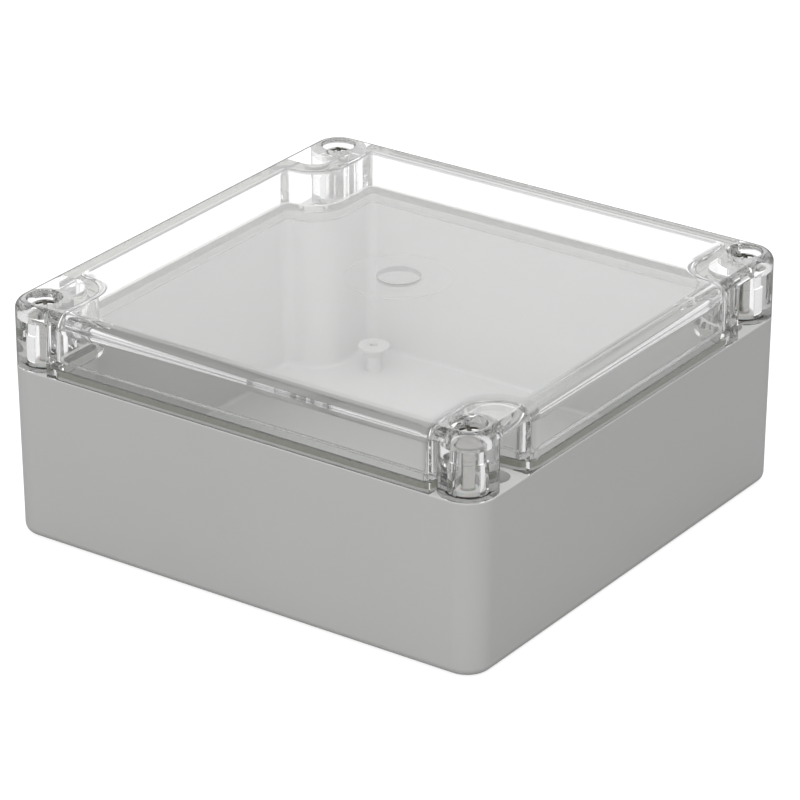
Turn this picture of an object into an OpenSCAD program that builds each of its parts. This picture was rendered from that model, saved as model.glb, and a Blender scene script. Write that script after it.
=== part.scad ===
// Small wall-mount enclosure: a grey moulded base, a clear lid with a sealed
// rim, and four captive screws that stand outside the seal in open corner pockets.
// Millimetres. The origin is under the middle of the base, +Z is up.

/* [Body] */
// Length along X
body_x = 122; // [110:1:170]
// Length along Y
body_y = 120; // [110:1:170]
// Height of the base, up to the parting line
base_h = 40; // [30:1:70]
// Radius of the upright outer corners
corner_r = 6.4; // [6.2:0.1:7]
// Thickness of the side walls at the parting line
wall = 2.5; // [2.2:0.1:2.8]
// Thickness of the base's floor
floor_t = 2.5; // [2:0.1:4]
// How far each side leans in from the parting line to the floor
base_draft = 0.48; // [0.1:0.02:0.8]
// Radius under the base
bottom_round = 2; // [0.5:0.1:2.5]
// Radius of the base's outer rim
rim_round = 0.4; // [0.2:0.1:0.6]
// Radius between the base's floor and its walls
floor_round = 1; // [0.5:0.1:2]

/* [Lid] */
// Height of the lid
lid_h = 15; // [14:0.5:24]
// Thickness of the top plate
plate_t = 2.4; // [2:0.1:3]
// Radius along the lid's outer top edge
lid_round = 2.3; // [0.5:0.1:2.4]
// Radius inside, between the top plate and the walls
lid_fillet = 2.4; // [0.5:0.1:2.5]
// How far the screw-side notch in the Y faces runs past the post's tangent
notch_reach = 5.2; // [3:0.1:5.4]
// Diameter of the round gate recess under the top plate
gate_d = 9.8; // [4:0.1:14]
// Depth of the gate recess
gate_depth = 1.2; // [0.3:0.1:1.2]
// Diameter of the faint ring around the gate
ring_d = 23.8; // [18:0.1:40]
// Width of the faint ring
ring_w = 0.2; // [0.2:0.1:1]
// Depth of the faint ring
ring_depth = 0.05; // [0.05:0.05:0.3]

/* [Seal] */
// Radius of the sealed wall's bend around each mounting hole
seal_bend_r = 7.1; // [6.8:0.1:7.5]
// Radius where the sealed wall meets the Y walls
seal_fillet = 2.5; // [2.4:0.1:2.8]
// Width of the base's tongue
tongue_w = 1.3; // [0.8:0.1:1.4]
// Height of the tongue over the parting line
tongue_h = 0.6; // [0.4:0.1:1.2]
// Height of the gasket, pressed
gasket_h = 1.3; // [0.8:0.1:1.8]
// Gap on each side of the tongue in the lid's groove
tongue_gap = 0.3; // [0.2:0.05:0.4]
// Gap on each side of the gasket in the lid's groove
gasket_gap = 0.02; // [0.01:0.01:0.1]
// How far the lid's foot stands in from the walls
foot_in = 1.7; // [1.2:0.1:2.2]
// Height of the lid's foot
foot_h = 3.6; // [3.4:0.1:4.4]
// Radius on the foot's upper inner edge
foot_round = 0.9; // [0.3:0.1:1.1]

/* [Screws] */
// Diameter of the screw head
head_d = 6.2; // [5.6:0.1:6.6]
// Height of the screw head
head_h = 3.4; // [2.8:0.1:4]
// Rise of the head's domed top
head_dome = 0.7; // [0.3:0.1:1]
// Radius under the head's edge
head_under = 0.8; // [0.3:0.1:1]
// Depth of the head's top below the lid's top
head_sink = 1.2; // [0.5:0.1:2]
// Gap around the head in its recess
head_gap = 0.7; // [0.3:0.05:0.9]
// Chamfer at the mouth of the recess
recess_chamfer = 0.25; // [0.1:0.05:0.4]
// Width of the cross recess's wings
cross_w = 0.95; // [0.6:0.05:1.2]
// Length across the cross recess's wings
cross_l = 3.9; // [3:0.1:4.4]
// Depth of the cross recess
cross_depth = 1.9; // [1:0.1:2.4]
// Diameter of the screw's slim neck
neck_d = 2.9; // [2.6:0.1:3.1]
// Diameter of the thread
thread_d = 4; // [3.8:0.1:4.2]
// Pitch of the thread
thread_pitch = 0.7; // [0.5:0.05:0.8]
// Length of the thread
thread_l = 7; // [5:0.5:10]
// Chamfer at the screw's tip
tip_chamfer = 0.6; // [0.3:0.1:1]
// Turns from tight to free of the insert
free_turns = 8; // [4:1:8]

/* [Captive bore] */
// Diameter of the bore under the head
bore_d = 4.5; // [4.4:0.1:4.6]
// Diameter of the wider bore that the retainer rides in
relief_d = 5; // [4.9:0.1:5.2]
// Thickness of the retainer
retainer_t = 1; // [0.6:0.1:1.2]
// Gap between the retainer at rest and the parting line
retainer_gap = 0.3; // [0.1:0.1:0.5]
// Running gap around the neck and around the retainer
running_gap = 0.05; // [0.02:0.01:0.08]

/* [Insert] */
// Diameter of the threaded insert over its knurl
insert_d = 5.6; // [5.2:0.1:6]
// Length of the insert
insert_l = 7; // [5:0.5:9]
// Radial interference of the knurl in the base
insert_grip = 0.03; // [0.01:0.01:0.05]
// Depth of the insert's waist groove
insert_waist = 0.3; // [0.1:0.05:0.4]
// Room under the screw's tip
tip_room = 1.5; // [0.5:0.5:4]

/* [Mounting] */
// Distance of the mounting holes in from the X faces
mount_in_x = 5.5; // [5.2:0.1:6]
// Distance of the mounting holes in from the Y faces
mount_in_y = 14.5; // [14:0.1:18]
// Diameter of the mounting holes
mount_hole_d = 4.4; // [3.5:0.1:5]
// Diameter of the shaft down to each mounting hole
mount_shaft_d = 6.6; // [6:0.1:7]
// Thickness under the mounting screw's head
mount_seat_t = 6; // [3:0.5:10]
// Distance of the board pillars in from the X faces
pillar_in_x = 21; // [18:0.5:30]
// Distance of the board pillars in from the Y faces
pillar_in_y = 13; // [8:0.5:30]
// Height of the board pillars over the floor
pillar_h = 6.3; // [4:0.1:12]
// Diameter of the board pillars
pillar_d = 3.6; // [3.4:0.1:6]
// Diameter of the pillar's collar
collar_d = 7.4; // [6.5:0.1:8]
// Thickness of the collar's straight edge
collar_t = 0.5; // [0.4:0.1:1.5]
// Height of the cone under the collar
collar_cone = 2.2; // [1:0.1:2.6]
// Diameter of the screw hole in a pillar
pillar_hole_d = 2; // [1.6:0.1:2.4]
// Depth of the screw hole in a pillar
pillar_hole_l = 5; // [2:0.1:6]

/* [Hidden] */
$fn = 96;
eps = 0.01;

half_x = body_x / 2;
half_y = body_y / 2;
total_h = base_h + lid_h;
post_x = half_x - corner_r;
post_y = half_y - corner_r;
hole_x = half_x - mount_in_x;
hole_y = half_y - mount_in_y;
inner_x = half_x - wall;
inner_y = half_y - wall;
seal_x = hole_x - seal_bend_r;
turn_r = inner_x - hole_x;
turn_y = hole_y - seal_bend_r - turn_r;
plate_z = total_h - plate_t;
groove_h = tongue_h + gasket_h;
head_z = total_h - head_sink - head_h;
recess_d = head_d + 2 * head_gap;
free_travel = free_turns * thread_pitch;
retainer_z = base_h + retainer_gap;
relief_h = retainer_gap + retainer_t + free_travel + retainer_gap;
tip_z = retainer_z - thread_l;
insert_z = base_h - insert_l;
far = body_x + body_y;

// The corners in the order front left, front right, back right, back left.
CORNERS = [[-1, -1], [1, -1], [1, 1], [-1, 1]];

// Puts its children, drawn for the corner at +X +Y, at one corner.
module at_corner(corner) {
    mirror([corner[0] < 0 ? 1 : 0, 0, 0])
        mirror([0, corner[1] < 0 ? 1 : 0, 0])
            children();
}

// Puts its children at all four corners.
module each_corner() {
    for (corner = CORNERS)
        at_corner(corner) children();
}

// Half of the drafted base's upright section, out to half_w at the parting line.
module base_side(half_w) {
    foot_w = half_w - base_draft;
    polygon([
        [0, 0],
        [foot_w - bottom_round, 0],
        [foot_w - bottom_round, bottom_round],
        [foot_w, bottom_round],
        [half_w, base_h - rim_round],
        [half_w - rim_round, base_h - rim_round],
        [half_w - rim_round, base_h],
        [0, base_h]
    ]);
    translate([foot_w - bottom_round, bottom_round]) circle(r = bottom_round);
    translate([half_w - rim_round, base_h - rim_round]) circle(r = rim_round);
}

// Half of the lid's upright section, out to half_w, with its rounded top edge.
module lid_side(half_w) {
    translate([0, base_h]) square([half_w, lid_h - lid_round]);
    translate([0, base_h]) square([half_w - lid_round, lid_h]);
    translate([half_w - lid_round, total_h - lid_round]) circle(r = lid_round);
}

// A rounded box whose sides follow one upright section. It takes three children:
// that section for the corners, for the X sides and for the Y sides.
module rounded_box() {
    each_corner()
        translate([post_x, post_y, 0])
            rotate_extrude() intersection() {
                children(0);
                translate([0, -far]) square([far, 2 * far]);
            }
    rotate([90, 0, 0])
        linear_extrude(height = 2 * post_y, center = true) {
            children(1);
            mirror([1, 0]) children(1);
        }
    rotate([90, 0, 90])
        linear_extrude(height = 2 * post_x, center = true) {
            children(2);
            mirror([1, 0]) children(2);
        }
}

// The sealed space seen from above, its outline moved out by grow. In each corner
// it turns inward around the mounting hole and the screw post.
module sealed_area(grow = 0) {
    difference() {
        square([2 * (inner_x + grow), 2 * (inner_y + grow)], center = true);
        each_corner() outside_corner(grow);
    }
}

// What the sealed space leaves free in one corner.
module outside_corner(grow) {
    translate([seal_x + grow, hole_y]) square([far, far]);
    translate([hole_x, hole_y]) circle(r = seal_bend_r - grow);
    difference() {
        translate([seal_x - seal_fillet, inner_y - seal_fillet]) square([far, far]);
        translate([seal_x - seal_fillet, inner_y - seal_fillet]) circle(r = seal_fillet + grow);
    }
    difference() {
        translate([hole_x, turn_y]) square([far, hole_y - turn_y]);
        translate([hole_x, turn_y]) circle(r = turn_r + grow);
    }
}

// Sweeps a section along the sealed wall. In the section, X is the distance in
// from the wall and Y is the height.
module along_wall() {
    each_corner() {
        translate([inner_x, turn_y, 0])
            rotate([90, 0, 0])
                linear_extrude(height = turn_y) mirror([1, 0]) children();
        translate([hole_x, turn_y, 0])
            rotate_extrude(angle = 90) turned_in(turn_r) children();
        translate([hole_x, hole_y, 0])
            rotate([0, 0, 180])
                rotate_extrude(angle = 90) translate([seal_bend_r, 0]) children();
        translate([seal_x, inner_y - seal_fillet, 0])
            rotate([90, 0, 0])
                linear_extrude(height = inner_y - seal_fillet - hole_y) mirror([1, 0]) children();
        translate([seal_x - seal_fillet, inner_y - seal_fillet, 0])
            rotate_extrude(angle = 90) turned_in(seal_fillet) children();
        translate([0, inner_y, 0])
            rotate([90, 0, 90])
                linear_extrude(height = seal_x - seal_fillet) mirror([1, 0]) children();
    }
}

// The wall's section around a turn of radius r whose centre lies inside the
// sealed space.
module turned_in(r) {
    intersection() {
        translate([r, 0]) mirror([1, 0]) children();
        translate([0, -far]) square([far, 2 * far]);
    }
}

// The section of a fillet between a wall and the flat face at height z. It rises
// from the face when up is 1 and hangs from it when up is -1.
module fillet_section(r, z, up) {
    translate([0, z])
        scale([1, up])
            difference() {
                translate([-wall / 2, -floor_t / 2]) square([r + wall / 2, r + floor_t / 2]);
                translate([r, r]) circle(r = r);
            }
}

// One pillar that carries a circuit board.
module board_pillar() {
    rotate_extrude()
        difference() {
            polygon([
                [0, -floor_t / 2],
                [pillar_d / 2, -floor_t / 2],
                [pillar_d / 2, pillar_h - collar_t - collar_cone],
                [collar_d / 2, pillar_h - collar_t],
                [collar_d / 2, pillar_h],
                [0, pillar_h]
            ]);
            translate([0, pillar_h - pillar_hole_l]) square([pillar_hole_d / 2, pillar_hole_l + 1]);
        }
}

module base() {
    color("#B4B5B4")
    difference() {
        union() {
            difference() {
                rounded_box() {
                    base_side(corner_r);
                    base_side(half_x);
                    base_side(half_y);
                }
                translate([0, 0, floor_t]) linear_extrude(height = base_h) sealed_area();
            }
            along_wall() fillet_section(floor_round, floor_t, 1);
            translate([0, 0, base_h - 1])
                linear_extrude(height = tongue_h + 1)
                    difference() {
                        sealed_area(tongue_w);
                        sealed_area();
                    }
            each_corner()
                translate([half_x - pillar_in_x, half_y - pillar_in_y, floor_t]) board_pillar();
        }
        each_corner() {
            translate([hole_x, hole_y, -1]) cylinder(d = mount_hole_d, h = mount_seat_t + 2);
            translate([hole_x, hole_y, mount_seat_t]) cylinder(d = mount_shaft_d, h = base_h);
            translate([post_x, post_y, insert_z])
                cylinder(r = insert_d / 2 - insert_grip, h = insert_l + 1);
            translate([post_x, post_y, min(tip_z, insert_z) - tip_room])
                cylinder(r = thread_d / 2 + running_gap, h = insert_l);
        }
    }
}

// The open pocket beside one screw post, over the mounting hole, and the small
// notch on the post's other side.
module corner_pocket() {
    pocket_r = seal_bend_r - wall;
    linear_extrude(height = plate_z - base_h + 1)
        difference() {
            union() {
                translate([hole_x, hole_y]) circle(r = pocket_r);
                translate([hole_x, hole_y - pocket_r]) square([far, pocket_r + eps]);
                translate([hole_x - pocket_r, hole_y]) square([far, post_y - hole_y]);
                translate([post_x - notch_reach, post_y]) square([notch_reach, far]);
            }
            translate([post_x, post_y]) circle(r = corner_r);
        }
}

// The stepped bore for one captive screw.
module captive_bore() {
    translate([0, 0, base_h - 1]) cylinder(d = relief_d, h = relief_h + 1);
    translate([0, 0, base_h]) cylinder(d = bore_d, h = lid_h);
    translate([0, 0, head_z]) cylinder(d = recess_d, h = lid_h);
    translate([0, 0, total_h - recess_chamfer])
        cylinder(d1 = recess_d, d2 = recess_d + 4 * recess_chamfer, h = 2 * recess_chamfer);
}

// The section of the lid's foot, with its rounded upper inner edge.
module foot_section() {
    translate([-wall / 2, base_h]) square([foot_in + wall / 2, foot_h - foot_round]);
    translate([-wall / 2, base_h]) square([foot_in - foot_round + wall / 2, foot_h]);
    translate([foot_in - foot_round, base_h + foot_h - foot_round]) circle(r = foot_round);
}

module lid() {
    color("#DDE3E4", 0.35)
    difference() {
        union() {
            difference() {
                rounded_box() {
                    lid_side(corner_r);
                    lid_side(half_x);
                    lid_side(half_y);
                }
                translate([0, 0, base_h - 1])
                    linear_extrude(height = lid_h - plate_t + 1) sealed_area();
                translate([0, 0, base_h - 1]) each_corner() corner_pocket();
            }
            along_wall() fillet_section(lid_fillet, plate_z, -1);
            along_wall() foot_section();
        }
        translate([0, 0, base_h - 1])
            linear_extrude(height = groove_h + 1)
                difference() {
                    sealed_area(tongue_w + tongue_gap);
                    sealed_area(-tongue_gap);
                }
        each_corner() translate([post_x, post_y, 0]) captive_bore();
        translate([0, 0, plate_z - 1]) cylinder(d = gate_d, h = gate_depth + 1);
        translate([0, 0, plate_z - 1])
            rotate_extrude()
                translate([ring_d / 2 - ring_w / 2, 0]) square([ring_w, ring_depth + 1]);
    }
}

module gasket() {
    color("#7A7B72")
    translate([0, 0, base_h + tongue_h])
        linear_extrude(height = gasket_h)
            difference() {
                sealed_area(tongue_w + tongue_gap - gasket_gap);
                sealed_area(-tongue_gap + gasket_gap);
            }
}

// Half of the screw's section: tip, thread, slim neck and domed head.
module screw_section() {
    dome_r = (pow(head_d / 2, 2) + pow(head_dome, 2)) / (2 * head_dome);
    polygon([
        [0, tip_z],
        [thread_d / 2 - tip_chamfer, tip_z],
        [thread_d / 2, tip_z + tip_chamfer],
        [thread_d / 2, retainer_z],
        [0, retainer_z]
    ]);
    translate([0, tip_z + 1]) square([neck_d / 2, head_z - tip_z]);
    translate([0, head_z]) square([head_d / 2 - head_under, head_h - head_dome]);
    translate([head_d / 2 - head_under, head_z + head_under]) circle(r = head_under);
    intersection() {
        translate([0, head_z + head_h - dome_r]) circle(r = dome_r);
        translate([0, head_z + head_under]) square([head_d / 2, head_h - head_under]);
    }
}

module screw() {
    color("#B9B7AF")
    translate([post_x, post_y, 0])
        difference() {
            rotate_extrude() screw_section();
            for (turn = [45, 135])
                rotate([0, 0, turn])
                    translate([-cross_l / 2, -cross_w / 2, head_z + head_h - cross_depth])
                        cube([cross_l, cross_w, cross_depth + 1]);
        }
}

module retainer() {
    color("#E8E6DC")
    translate([post_x, post_y, retainer_z])
        difference() {
            cylinder(r = relief_d / 2 - running_gap, h = retainer_t);
            translate([0, 0, -1]) cylinder(r = neck_d / 2 + running_gap, h = retainer_t + 2);
        }
}

module insert() {
    color("#C9A24A")
    translate([post_x, post_y, insert_z])
        rotate_extrude()
            translate([thread_d / 2 + running_gap, 0])
                difference() {
                    square([insert_d / 2 - thread_d / 2 - running_gap, insert_l]);
                    translate([insert_d / 2 - thread_d / 2 - running_gap - insert_waist, insert_l * 3 / 8])
                        square([insert_waist + 1, insert_l / 4]);
                }
}

base();
lid();
gasket();
at_corner(CORNERS[0]) screw();  // screw_front_left
at_corner(CORNERS[1]) screw();  // screw_front_right
at_corner(CORNERS[2]) screw();  // screw_back_right
at_corner(CORNERS[3]) screw();  // screw_back_left
at_corner(CORNERS[0]) retainer();  // retainer_front_left
at_corner(CORNERS[1]) retainer();  // retainer_front_right
at_corner(CORNERS[2]) retainer();  // retainer_back_right
at_corner(CORNERS[3]) retainer();  // retainer_back_left
at_corner(CORNERS[0]) insert();  // insert_front_left
at_corner(CORNERS[1]) insert();  // insert_front_right
at_corner(CORNERS[2]) insert();  // insert_back_right
at_corner(CORNERS[3]) insert();  // insert_back_left
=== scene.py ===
"""Looks for a clear-lid wall enclosure: moulded grey base, polycarbonate lid,
foam gasket and captive stainless screws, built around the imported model."""

import math

import bmesh
import bpy
from mathutils import Matrix, Vector


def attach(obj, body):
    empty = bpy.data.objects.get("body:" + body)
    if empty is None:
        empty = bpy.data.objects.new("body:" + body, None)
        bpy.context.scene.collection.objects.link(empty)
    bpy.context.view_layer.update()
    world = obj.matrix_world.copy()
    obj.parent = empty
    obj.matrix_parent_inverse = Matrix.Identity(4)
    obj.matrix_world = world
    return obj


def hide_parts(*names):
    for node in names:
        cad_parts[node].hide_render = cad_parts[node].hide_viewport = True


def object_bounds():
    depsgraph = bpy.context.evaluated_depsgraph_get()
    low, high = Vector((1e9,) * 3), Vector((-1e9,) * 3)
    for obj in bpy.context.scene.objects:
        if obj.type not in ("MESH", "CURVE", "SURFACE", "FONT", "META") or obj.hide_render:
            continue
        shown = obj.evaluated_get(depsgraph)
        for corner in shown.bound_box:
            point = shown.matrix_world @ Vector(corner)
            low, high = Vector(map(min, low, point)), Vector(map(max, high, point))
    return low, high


MM = 0.001
CORNERS = ("front_left", "front_right", "back_right", "back_left")

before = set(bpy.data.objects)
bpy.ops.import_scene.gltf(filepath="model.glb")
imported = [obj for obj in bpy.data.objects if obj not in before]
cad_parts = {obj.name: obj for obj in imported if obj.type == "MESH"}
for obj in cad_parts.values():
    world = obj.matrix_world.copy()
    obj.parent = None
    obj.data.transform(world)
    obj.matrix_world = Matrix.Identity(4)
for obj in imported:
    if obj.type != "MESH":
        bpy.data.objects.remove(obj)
cad_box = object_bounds()
scene = bpy.context.scene


# ---------------------------------------------------------------- materials

MOULD_GRAIN = 0.6 * MM       # a real spark-eroded grain is about 0.1 mm, too fine to show
MOULD_CLOUD = 45 * MM        # slow drift of the pigment
FLOW_WAVE = 30 * MM          # waviness that the melt leaves as it flows
PAINTED_EDGE_SHADE_FACING = (0.6, 0.82)        # facing values between which an edge of the lid darkens, a painted shade
GATE_RADIUS = 4.9 * MM       # wall of the gate's recess, under the middle of the lid
GATE_PLAY = 0.1 * MM
GATE_MIDDLE = 53.2 * MM      # half-way up that wall
GATE_HALF = 0.58 * MM
GATE_ROUGHNESS = 0.5
FOAM_CELL = 0.35 * MM
OUTER_SIDE = (5 * MM, 10 * MM)   # how far outward a face of the gasket leans before it is dark, a painted shade
STEEL_SMEAR = 1.8 * MM       # marks of handling
NYLON_CLOUD = 1.5 * MM
TOOL_LINE = 0.8 * MM         # real turned lines are about 0.1 mm apart, too fine to show


def linear(hex_colour):
    """An sRGB hex colour as linear RGBA."""
    channels = [int(hex_colour[i:i + 2], 16) / 255 for i in (1, 3, 5)]
    return (*(c / 12.92 if c <= 0.04045 else ((c + 0.055) / 1.055) ** 2.4 for c in channels), 1.0)


def socket(sockets, name):
    """The socket in use that has this name, or this number."""
    if isinstance(name, int):
        return sockets[name]
    return next((s for s in sockets if s.name == name and s.enabled), None)


def add_node(tree, kind, settings=None, links=None):
    """Adds one node. Settings go to its properties or sockets, and links join
    outputs to its sockets."""
    node = tree.nodes.new(kind)
    for name, value in (settings or {}).items():
        if isinstance(name, str) and hasattr(node, name):
            setattr(node, name, value)
        else:
            socket(node.inputs, name).default_value = value
    for name, output in (links or {}).items():
        tree.links.new(output, socket(node.inputs, name))
    return node


def new_material(name, **finish):
    """A material with one Principled shader. Returns the material, its tree, the
    shader and object coordinates."""
    material = bpy.data.materials.new(name)
    material.use_nodes = True
    tree = material.node_tree
    shader = tree.nodes["Principled BSDF"]
    for quality, value in finish.items():
        shader.inputs[quality.replace("_", " ")].default_value = value
    place = add_node(tree, "ShaderNodeTexCoord").outputs["Object"]
    return material, tree, shader, place


def moulded_abs():
    """Injection-moulded ABS, light grey, from a fine spark-eroded tool: an even
    satin with a grain that only shows close up."""
    material, tree, shader, place = new_material("moulded_abs_light_grey", Roughness=0.42, IOR=1.53)
    grain = add_node(tree, "ShaderNodeTexNoise",
                     {"Scale": 1 / MOULD_GRAIN, "Detail": 3.0, "Roughness": 0.6}, {"Vector": place})
    cloud = add_node(tree, "ShaderNodeTexNoise",
                     {"Scale": 1 / MOULD_CLOUD, "Detail": 2.0}, {"Vector": place})
    tint = add_node(tree, "ShaderNodeMix",
                    {"data_type": "RGBA", "A": linear("#C3C4C2"), "B": linear("#C9CAC8")},
                    {"Factor": cloud.outputs["Fac"]})
    tree.links.new(socket(tint.outputs, "Result"), shader.inputs["Base Color"])
    rough = add_node(tree, "ShaderNodeMapRange", {"To Min": 0.38, "To Max": 0.48},
                     {"Value": grain.outputs["Fac"]})
    tree.links.new(rough.outputs["Result"], shader.inputs["Roughness"])
    bump = add_node(tree, "ShaderNodeBump", {"Strength": 0.12, "Distance": 0.02 * MM},
                    {"Height": grain.outputs["Fac"]})
    tree.links.new(bump.outputs["Normal"], shader.inputs["Normal"])
    return material


def clear_polycarbonate():
    """Injection-moulded polycarbonate from a polished tool: water-clear, glossy, with
    the faint waviness that moulding leaves. Edges seen at a grazing angle are tinted
    dark grey, a painted shade. The wall of the gate's recess is left matt by the cutter,
    and tinted grey as painted shade."""
    material, tree, shader, place = new_material(
        "polycarbonate_clear", Roughness=0.0, IOR=1.585, Transmission_Weight=1.0)
    # painted shade: where the lid is seen at a grazing angle its tint goes to dark grey
    facing = add_node(tree, "ShaderNodeLayerWeight", {"Blend": 0.5}).outputs["Facing"]
    grazing = add_node(tree, "ShaderNodeMapRange",
                       {"interpolation_type": "SMOOTHSTEP",
                        "From Min": PAINTED_EDGE_SHADE_FACING[0], "From Max": PAINTED_EDGE_SHADE_FACING[1]}, {"Value": facing})
    tint = add_node(tree, "ShaderNodeMix",
                    {"data_type": "RGBA", "A": linear("#F5F5F5"), "B": linear("#606160")},
                    {"Factor": grazing.outputs["Result"]})
    level = add_node(tree, "ShaderNodeVectorMath", {"operation": "MULTIPLY", 1: (1, 1, 0)},
                     {0: place}).outputs[0]
    radius = add_node(tree, "ShaderNodeVectorMath", {"operation": "LENGTH"},
                      {0: level}).outputs["Value"]
    height = add_node(tree, "ShaderNodeSeparateXYZ", links={0: place}).outputs["Z"]
    round_gate = add_node(tree, "ShaderNodeMath",
                          {"operation": "COMPARE", 1: GATE_RADIUS, 2: GATE_PLAY}, {0: radius})
    in_recess = add_node(tree, "ShaderNodeMath",
                         {"operation": "COMPARE", 1: GATE_MIDDLE, 2: GATE_HALF}, {0: height})
    recess_wall = add_node(tree, "ShaderNodeMath", {"operation": "MULTIPLY"},
                   {0: round_gate.outputs[0], 1: in_recess.outputs[0]}).outputs[0]
    # painted shade: the recess wall is tinted mid grey; its matt roughness below is the cutter's
    clear = add_node(tree, "ShaderNodeMix", {"data_type": "RGBA", "B": linear("#7E7F7D")},
                     {"Factor": recess_wall, "A": socket(tint.outputs, "Result")})
    tree.links.new(socket(clear.outputs, "Result"), shader.inputs["Base Color"])
    matt = add_node(tree, "ShaderNodeMath", {"operation": "MULTIPLY", 1: GATE_ROUGHNESS}, {0: recess_wall})
    tree.links.new(matt.outputs[0], shader.inputs["Roughness"])
    wave = add_node(tree, "ShaderNodeTexNoise", {"Scale": 1 / FLOW_WAVE, "Detail": 1.0},
                    {"Vector": place})
    bump = add_node(tree, "ShaderNodeBump", {"Strength": 0.006, "Distance": 0.05 * MM},
                    {"Height": wave.outputs["Fac"]})
    tree.links.new(bump.outputs["Normal"], shader.inputs["Normal"])
    return material


def foam_gasket():
    """Foamed-in-place polyurethane: matt, with closed cells about 0.3 mm across. Its
    outward faces are olive grey, a painted shade, and the rest is pale, painted light."""
    material, tree, shader, place = new_material(
        "polyurethane_foam_gasket", Roughness=0.85, IOR=1.45)
    cells = add_node(tree, "ShaderNodeTexVoronoi", {"Scale": 1 / FOAM_CELL}, {"Vector": place})
    tint = add_node(tree, "ShaderNodeMix",
                    {"data_type": "RGBA", "A": linear("#7C7D72"), "B": linear("#939489")},
                    {"Factor": cells.outputs["Distance"]})
    level = add_node(tree, "ShaderNodeVectorMath", {"operation": "MULTIPLY", 1: (1, 1, 0)},
                     {0: place}).outputs[0]
    normal = add_node(tree, "ShaderNodeNewGeometry").outputs["Normal"]
    outward = add_node(tree, "ShaderNodeVectorMath", {"operation": "DOT_PRODUCT"},
                       {0: level, 1: normal})
    # painted shade on faces that lean outward, olive grey; painted light on the others, pale grey
    painted_outer_shade = add_node(tree, "ShaderNodeMapRange",
                         {"From Min": OUTER_SIDE[0], "From Max": OUTER_SIDE[1]},
                         {"Value": outward.outputs["Value"]})
    painted_light_and_shade = add_node(tree, "ShaderNodeMix", {"data_type": "RGBA", "A": linear("#C9CAC5")},
                    {"Factor": painted_outer_shade.outputs["Result"], "B": socket(tint.outputs, "Result")})
    tree.links.new(socket(painted_light_and_shade.outputs, "Result"), shader.inputs["Base Color"])
    bump = add_node(tree, "ShaderNodeBump", {"Strength": 0.4, "Distance": 0.08 * MM},
                    {"Height": cells.outputs["Distance"]})
    tree.links.new(bump.outputs["Normal"], shader.inputs["Normal"])
    return material


def stainless_steel():
    """Cold-headed A2 stainless steel, passivated: bright, faintly warm grey, softly mirrored."""
    material, tree, shader, place = new_material(
        "stainless_steel_a2", Base_Color=linear("#CCCBC8"), Metallic=1.0, Roughness=0.2)
    smear = add_node(tree, "ShaderNodeTexNoise", {"Scale": 1 / STEEL_SMEAR, "Detail": 2.0},
                     {"Vector": place})
    rough = add_node(tree, "ShaderNodeMapRange", {"To Min": 0.17, "To Max": 0.23},
                     {"Value": smear.outputs["Fac"]})
    tree.links.new(rough.outputs["Result"], shader.inputs["Roughness"])
    return material


def natural_nylon():
    """Unfilled polyamide 6, natural: milky, slightly translucent, satin."""
    material, tree, shader, place = new_material(
        "polyamide_natural", Roughness=0.4, IOR=1.53,
        Subsurface_Weight=0.3, Subsurface_Scale=0.5 * MM)
    cloud = add_node(tree, "ShaderNodeTexNoise", {"Scale": 1 / NYLON_CLOUD}, {"Vector": place})
    tint = add_node(tree, "ShaderNodeMix",
                    {"data_type": "RGBA", "A": linear("#C9CAC8"), "B": linear("#D6D7D5")},
                    {"Factor": cloud.outputs["Fac"]})
    tree.links.new(socket(tint.outputs, "Result"), shader.inputs["Base Color"])
    return material


def plated_brass():
    """Free-cutting brass, turned and nickel plated: pale warm grey with fine tool
    lines round the axis."""
    material, tree, shader, place = new_material(
        "brass_nickel_plated", Base_Color=linear("#CFCABC"), Metallic=1.0, Roughness=0.3)
    lines = add_node(tree, "ShaderNodeTexWave",
                     {"bands_direction": "Z", "Scale": 1 / TOOL_LINE, "Distortion": 0.5},
                     {"Vector": place})
    rough = add_node(tree, "ShaderNodeMapRange", {"To Min": 0.22, "To Max": 0.38},
                     {"Value": lines.outputs["Fac"]})
    tree.links.new(rough.outputs["Result"], shader.inputs["Roughness"])
    return material


# ------------------------------------------------------------------- pieces

SHARP_ANGLE = math.radians(28)
FLAT_ANGLE = math.radians(0.2)
WELD = 0.001 * MM
THREAD_PITCH = 0.7 * MM
THREAD_CREST = 2.0 * MM      # radius over the thread
THREAD_CORE = 1.6 * MM       # radius at the bottom of the thread
THREAD_RIDGE = 0.47 * THREAD_PITCH
THREAD_LOW = 33.9 * MM
THREAD_HIGH = 39.9 * MM
SHANK_TOP = 40.35 * MM
SCREW_X = 54.6 * MM
SCREW_Y = 53.6 * MM


def screw_axis(corner):
    """Where one corner's screw stands."""
    return (SCREW_X if corner.endswith("right") else -SCREW_X,
            SCREW_Y if corner.startswith("back") else -SCREW_Y)


def turn_to_core(mesh, axis):
    """Turns the plain shank of a screw down to the bottom of its thread."""
    for vert in mesh.verts:
        out = Vector((vert.co.x - axis[0], vert.co.y - axis[1]))
        if vert.co.z < SHANK_TOP and out.length > THREAD_CORE:
            out.length = THREAD_CORE
            vert.co.x, vert.co.y = axis[0] + out.x, axis[1] + out.y


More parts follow.
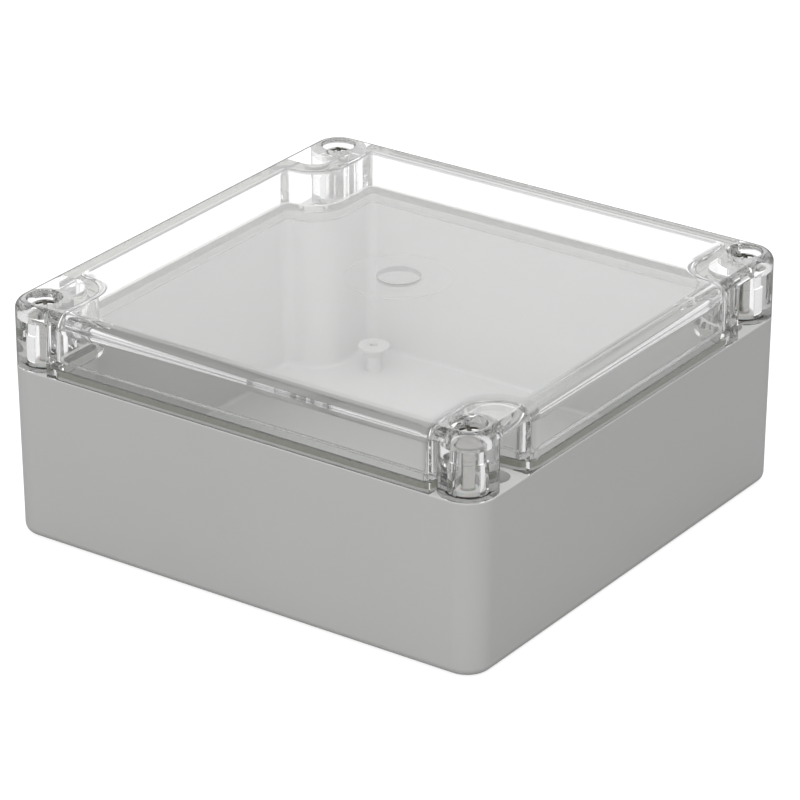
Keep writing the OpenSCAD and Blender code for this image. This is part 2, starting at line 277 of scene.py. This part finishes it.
def thread_tree():
    """Geometry nodes that wind one ridge round a screw's core: a helix swept with a
    four-sided ridge, joined to the screw."""
    tree = bpy.data.node_groups.new("screw_thread", "GeometryNodeTree")
    tree.interface.new_socket("Geometry", in_out="INPUT", socket_type="NodeSocketGeometry")
    for name, kind in (("Pitch", "Float"), ("Crest Radius", "Float"), ("Ridge", "Float"),
                       ("Length", "Float"), ("Foot", "Vector"), ("Material", "Material")):
        tree.interface.new_socket(name, in_out="INPUT", socket_type="NodeSocket" + kind)
    tree.interface.new_socket("Geometry", in_out="OUTPUT", socket_type="NodeSocketGeometry")
    given = add_node(tree, "NodeGroupInput").outputs
    radius = add_node(tree, "ShaderNodeMath", {"operation": "SUBTRACT"},
                      {0: given["Crest Radius"], 1: given["Ridge"]}).outputs[0]
    turns = add_node(tree, "ShaderNodeMath", {"operation": "DIVIDE"},
                     {0: given["Length"], 1: given["Pitch"]}).outputs[0]
    helix = add_node(tree, "GeometryNodeCurveSpiral", {"Resolution": 28, "Reverse": True},
                     {"Rotations": turns, "Start Radius": radius, "End Radius": radius,
                      "Height": given["Length"]})
    upright = add_node(tree, "GeometryNodeSetCurveNormal", {"mode": "Z_UP"},
                       {"Curve": helix.outputs[0]})
    ridge = add_node(tree, "GeometryNodeCurvePrimitiveCircle", {"Resolution": 4},
                     {"Radius": given["Ridge"]})
    swept = add_node(tree, "GeometryNodeCurveToMesh", {"Fill Caps": True},
                     {"Curve": upright.outputs[0], "Profile Curve": ridge.outputs["Curve"]})
    flat = add_node(tree, "GeometryNodeSetShadeSmooth", {"Shade Smooth": False},
                    {0: swept.outputs[0]})
    placed = add_node(tree, "GeometryNodeTransform",
                      links={"Geometry": flat.outputs[0], "Translation": given["Foot"]})
    joined = add_node(tree, "GeometryNodeJoinGeometry")
    tree.links.new(placed.outputs[0], joined.inputs[0])
    tree.links.new(given["Geometry"], joined.inputs[0])
    real = add_node(tree, "GeometryNodeRealizeInstances", links={"Geometry": joined.outputs[0]})
    coated = add_node(tree, "GeometryNodeSetMaterial",
                      links={"Geometry": real.outputs[0], "Material": given["Material"]})
    add_node(tree, "NodeGroupOutput", links={0: coated.outputs[0]})
    return tree


def wind_thread(piece, axis, material):
    """Adds the thread's node tree to a screw and sets its inputs by their identifiers."""
    threaded = piece.modifiers.new("thread", "NODES")
    threaded.node_group = SCREW_THREAD
    sizes = {"Pitch": THREAD_PITCH, "Crest Radius": THREAD_CREST, "Ridge": THREAD_RIDGE,
             "Length": THREAD_HIGH - THREAD_LOW, "Foot": (*axis, THREAD_LOW), "Material": material}
    for item in SCREW_THREAD.interface.items_tree:
        if item.in_out == "INPUT" and item.name in sizes:
            threaded[item.identifier] = sizes[item.name]


def take_in_modifiers(piece):
    """Takes all of a piece's modifiers into its mesh."""
    finished = piece.evaluated_get(bpy.context.evaluated_depsgraph_get())
    mesh = bpy.data.meshes.new_from_object(finished)
    piece.modifiers.clear()
    piece.data = mesh


def smooth_skin(node, name, material, thread_axis=None):
    """A smooth-shaded copy of one node's mesh. Flat faces become whole polygons
    first, so that the rounded edges beside them don't tilt their shading.
    A screw also gets its thread."""
    piece = bpy.data.objects.new(name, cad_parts[node].data.copy())
    scene.collection.objects.link(piece)
    mesh = bmesh.new()
    mesh.from_mesh(piece.data)
    bmesh.ops.remove_doubles(mesh, verts=mesh.verts, dist=WELD)
    if thread_axis:
        turn_to_core(mesh, thread_axis)
    bmesh.ops.dissolve_limit(mesh, angle_limit=FLAT_ANGLE, verts=mesh.verts, edges=mesh.edges)
    for edge in mesh.edges:
        edge.smooth = edge.calc_face_angle(0) < SHARP_ANGLE
    for face in mesh.faces:
        face.smooth = True
    mesh.to_mesh(piece.data)
    mesh.free()
    piece.data.materials.clear()
    piece.data.materials.append(material)
    weighted = piece.modifiers.new("weighted_normals", "WEIGHTED_NORMAL")
    weighted.keep_sharp = True
    weighted.weight = 100
    take_in_modifiers(piece)
    if thread_axis:
        wind_thread(piece, thread_axis, material)
        take_in_modifiers(piece)
    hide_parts(node)
    return piece


SCREW_THREAD = thread_tree()
abs_grey = moulded_abs()
polycarbonate = clear_polycarbonate()
foam = foam_gasket()
steel = stainless_steel()
nylon = natural_nylon()
brass = plated_brass()

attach(smooth_skin("base", "base_shell", abs_grey), "base")
lid = smooth_skin("lid", "lid_clear", polycarbonate)
lid.visible_shadow = False   # the clear lid lets the studio's light in
lid.visible_diffuse = False
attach(lid, "lid")
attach(smooth_skin("gasket", "gasket_bead", foam), "lid")
for corner in CORNERS:
    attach(smooth_skin("screw_" + corner, "lid_screw_" + corner, steel,
                        thread_axis=screw_axis(corner)), "screw_" + corner)
    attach(smooth_skin("retainer_" + corner, "retainer_ring_" + corner, nylon),
            "retainer_" + corner)
    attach(smooth_skin("insert_" + corner, "threaded_insert_" + corner, brass), "base")


# -------------------------------------------------------- camera and studio

VIEW_AZIMUTH = math.radians(35)
VIEW_ELEVATION = math.radians(25)
VIEW_OFFSET = (0.241 * MM, 22.57 * MM, 976.987 * MM)   # right, up and back from the origin
LENS = 199.1
SENSOR = 36

# The surround's strengths, where 1 is white. A ramp runs between two heights above the
# horizon, as sines, and the room's ramp between two directions toward the camera's side.
HORIZON_LIGHT = 0.3          # light that falls on the object
OVERHEAD_LIGHT = 1.2
LIGHT_RAMP = (0.1, 0.95)
SKYLINE_GLOSS = 0.45         # the horizon in a reflection
BACKDROP_GLOSS = 1.6         # the bright panel above it in a reflection
GLOSS_RAMP = (0.12, 0.3)
SKYLINE_TONE = 0.5           # the horizon through the lid
SKYLINE_RAMP = (0.0, 0.2)
CEILING_TONE = 0.35
CEILING_RAMP = (0.55, 0.8)
ROOM_TONE = 0.38             # the camera's side of the room
ROOM_RAMP = (-0.1, 0.35)

# The floor's shares of its own white, as a ray through the lid shows it.
FLOOR_SIZE = 6.0
FLOOR_LIFT = 0.75
FLOOR_TONE = 0.45
NEAR_SHEET = 0.1             # close to the object
NEAR_START = 60 * MM
SIDE_REACH = 61 * MM
FRONT_REACH = 88 * MM
NEAR_RAMP = (0.6, 0.86)
FAR_SHEET = 0.3              # far from it
FAR_RAMP = (350 * MM, 600 * MM)
GUIDED_SHEET = 0.5           # after the ray has been turned back inside the lid
GUIDED_TURNS = (2.0, 4.0)
GLOSSY_SHARE = 0.04          # in a reflection


def add_camera():
    """A long-lens camera that looks down on the front corner."""
    data = bpy.data.cameras.new("camera")
    data.lens = LENS
    data.sensor_width = SENSOR
    data.clip_start = 0.01
    data.clip_end = 100
    camera = bpy.data.objects.new("camera", data)
    scene.collection.objects.link(camera)
    turn = (Matrix.Rotation(VIEW_AZIMUTH, 3, "Z")
            @ Matrix.Rotation(math.pi / 2 - VIEW_ELEVATION, 3, "X"))
    camera.matrix_world = Matrix.Translation(turn @ Vector(VIEW_OFFSET)) @ turn.to_4x4()
    scene.camera = camera


def add_world():
    """A studio in front of a white background. Its light comes mostly from overhead, at a
    plain level. The clear lid and the metal show the background greyer near the horizon,
    overhead and on the camera's side of the room, and a reflection also shows a bright
    panel above the horizon."""
    world = bpy.data.worlds.new("studio_surround")
    world.use_nodes = True
    tree = world.node_tree
    background = tree.nodes["Background"]
    background.inputs["Color"].default_value = (1, 1, 1, 1)
    path = add_node(tree, "ShaderNodeLightPath").outputs
    direction = add_node(tree, "ShaderNodeTexCoord").outputs["Generated"]
    height = add_node(tree, "ShaderNodeSeparateXYZ", links={0: direction}).outputs["Z"]
    light = add_node(tree, "ShaderNodeMapRange",
                     {"interpolation_type": "SMOOTHSTEP",
                      "From Min": LIGHT_RAMP[0], "From Max": LIGHT_RAMP[1],
                      "To Min": HORIZON_LIGHT, "To Max": OVERHEAD_LIGHT}, {"Value": height})
    panel = add_node(tree, "ShaderNodeMapRange",
                     {"interpolation_type": "SMOOTHSTEP",
                      "From Min": GLOSS_RAMP[0], "From Max": GLOSS_RAMP[1],
                      "To Min": SKYLINE_GLOSS, "To Max": BACKDROP_GLOSS}, {"Value": height})
    skyline = add_node(tree, "ShaderNodeMapRange",
                       {"interpolation_type": "SMOOTHSTEP",
                        "From Min": SKYLINE_RAMP[0], "From Max": SKYLINE_RAMP[1],
                        "To Min": SKYLINE_TONE}, {"Value": height})
    behind = add_node(tree, "ShaderNodeMix", {"data_type": "FLOAT"},
                      {"Factor": path["Is Glossy Ray"], "A": skyline.outputs["Result"],
                       "B": panel.outputs["Result"]})
    ceiling = add_node(tree, "ShaderNodeMapRange",
                       {"interpolation_type": "SMOOTHSTEP",
                        "From Min": CEILING_RAMP[0], "From Max": CEILING_RAMP[1],
                        "To Max": CEILING_TONE},
                       {"Value": height, "To Min": socket(behind.outputs, "Result")})
    camera_side = (math.sin(VIEW_AZIMUTH), -math.cos(VIEW_AZIMUTH), 0)
    toward = add_node(tree, "ShaderNodeVectorMath", {"operation": "DOT_PRODUCT", 1: camera_side},
                      {0: direction}).outputs["Value"]
    room = add_node(tree, "ShaderNodeMapRange",
                    {"interpolation_type": "SMOOTHSTEP",
                     "From Min": ROOM_RAMP[0], "From Max": ROOM_RAMP[1], "To Max": ROOM_TONE},
                    {"Value": toward, "To Min": ceiling.outputs["Result"]})
    indirect = add_node(tree, "ShaderNodeMath", {"operation": "MAXIMUM"},
                        {0: path["Is Glossy Ray"], 1: path["Is Transmission Ray"]})
    seen = add_node(tree, "ShaderNodeMix", {"data_type": "FLOAT", "A": 1.0},
                    {"Factor": indirect.outputs[0], "B": room.outputs["Result"]})
    gathering = add_node(tree, "ShaderNodeMath", {"operation": "GREATER_THAN", 1: 0.5},
                         {0: path["Diffuse Depth"]})
    strength = add_node(tree, "ShaderNodeMix", {"data_type": "FLOAT"},
                        {"Factor": gathering.outputs[0], "A": socket(seen.outputs, "Result"),
                         "B": light.outputs["Result"]})
    tree.links.new(socket(strength.outputs, "Result"), background.inputs["Strength"])
    scene.world = world


def floor_share(tree):
    """How far a ray shows the floor as white: all of it straight, less through the
    clear lid's edges close to the object and far behind it, and least in a reflection
    or once it has been turned back inside the lid."""
    path = add_node(tree, "ShaderNodeLightPath").outputs
    place = add_node(tree, "ShaderNodeTexCoord").outputs["Object"]
    spot = add_node(tree, "ShaderNodeSeparateXYZ", links={0: place}).outputs
    beyond = []
    for axis, reach in (("X", SIDE_REACH), ("Y", FRONT_REACH)):
        away = add_node(tree, "ShaderNodeMath", {"operation": "ABSOLUTE"}, {0: spot[axis]})
        ramp = add_node(tree, "ShaderNodeMapRange",
                        {"From Min": NEAR_START, "From Max": NEAR_START + reach, "clamp": False},
                        {"Value": away.outputs[0]})
        beyond.append(ramp.outputs["Result"])
    most = add_node(tree, "ShaderNodeMath", {"operation": "MAXIMUM"}, {0: beyond[0], 1: beyond[1]})
    sheet = add_node(tree, "ShaderNodeMapRange",
                     {"interpolation_type": "SMOOTHSTEP",
                      "From Min": NEAR_RAMP[0], "From Max": NEAR_RAMP[1], "To Min": NEAR_SHEET},
                     {"Value": most.outputs[0]})
    distance = add_node(tree, "ShaderNodeVectorMath", {"operation": "LENGTH"},
                        {0: place}).outputs["Value"]
    distant = add_node(tree, "ShaderNodeMapRange",
                       {"interpolation_type": "SMOOTHSTEP",
                        "From Min": FAR_RAMP[0], "From Max": FAR_RAMP[1], "To Max": FAR_SHEET},
                       {"Value": distance, "To Min": sheet.outputs["Result"]})
    turned_back = add_node(tree, "ShaderNodeMath", {"operation": "GREATER_THAN", 1: 0.5},
                           {0: path["Glossy Depth"]})
    carried = add_node(tree, "ShaderNodeMapRange",
                       {"From Min": GUIDED_TURNS[0], "From Max": GUIDED_TURNS[1],
                        "To Min": GUIDED_SHEET, "To Max": 0.0}, {"Value": path["Glossy Depth"]})
    through = add_node(tree, "ShaderNodeMix", {"data_type": "FLOAT"},
                       {"Factor": turned_back.outputs[0], "A": distant.outputs["Result"],
                        "B": carried.outputs["Result"]})
    in_lid = add_node(tree, "ShaderNodeMath", {"operation": "MULTIPLY"},
                      {0: path["Is Transmission Ray"], 1: socket(through.outputs, "Result")})
    mirrored = add_node(tree, "ShaderNodeMath", {"operation": "MULTIPLY_ADD", 1: GLOSSY_SHARE},
                        {0: path["Is Glossy Ray"], 2: in_lid.outputs[0]})
    return add_node(tree, "ShaderNodeMath", {"operation": "MAXIMUM"},
                    {0: path["Is Camera Ray"], 1: mirrored.outputs[0]}).outputs[0]


def add_floor():
    """A pale sheet that shows white where it is seen, and keeps the object's faint shadow."""
    mesh = bpy.data.meshes.new("floor")
    half = FLOOR_SIZE / 2
    mesh.from_pydata([(-half, -half, 0), (half, -half, 0), (half, half, 0), (-half, half, 0)],
                     [], [(0, 1, 2, 3)])
    floor = bpy.data.objects.new("floor", mesh)
    scene.collection.objects.link(floor)
    material = bpy.data.materials.new("floor_sheet")
    material.use_nodes = True
    tree = material.node_tree
    tree.nodes.clear()
    matt = add_node(tree, "ShaderNodeBsdfDiffuse",
                    {"Color": (FLOOR_TONE, FLOOR_TONE, FLOOR_TONE, 1)})
    glow = add_node(tree, "ShaderNodeEmission", {"Color": (1, 1, 1, 1)})
    strength = add_node(tree, "ShaderNodeMath", {"operation": "MULTIPLY", 1: FLOOR_LIFT},
                        {0: floor_share(tree)})
    tree.links.new(strength.outputs[0], glow.inputs["Strength"])
    both = add_node(tree, "ShaderNodeAddShader", links={0: matt.outputs[0], 1: glow.outputs[0]})
    add_node(tree, "ShaderNodeOutputMaterial", links={"Surface": both.outputs[0]})
    mesh.materials.append(material)


def add_softbox(name, azimuth, elevation, distance, size, power):
    """A square area lamp that points at the middle of the object."""
    data = bpy.data.lights.new(name, "AREA")
    data.shape = "SQUARE"
    data.size = size
    data.energy = power
    lamp = bpy.data.objects.new(name, data)
    lamp.visible_glossy = False   # no hard-edged square in the lid from behind
    lamp.visible_transmission = False
    scene.collection.objects.link(lamp)
    turn = (Matrix.Rotation(math.radians(azimuth), 3, "Z")
            @ Matrix.Rotation(math.radians(90 - elevation), 3, "X"))
    middle = Vector((0, 0, cad_box[1][2] / 2))
    lamp.matrix_world = (Matrix.Translation(middle + turn @ Vector((0, 0, distance)))
                         @ turn.to_4x4())


add_camera()
add_world()
add_floor()
add_softbox("key_softbox", azimuth=20, elevation=25, distance=1.6, size=0.7, power=6)
add_softbox("fill_softbox", azimuth=205, elevation=30, distance=1.6, size=0.7, power=2)
scene.view_settings.view_transform = "Standard"
scene.cycles.max_bounces = 96   # light is turned back many times inside the lid
scene.cycles.transmission_bounces = 64
scene.cycles.glossy_bounces = 64
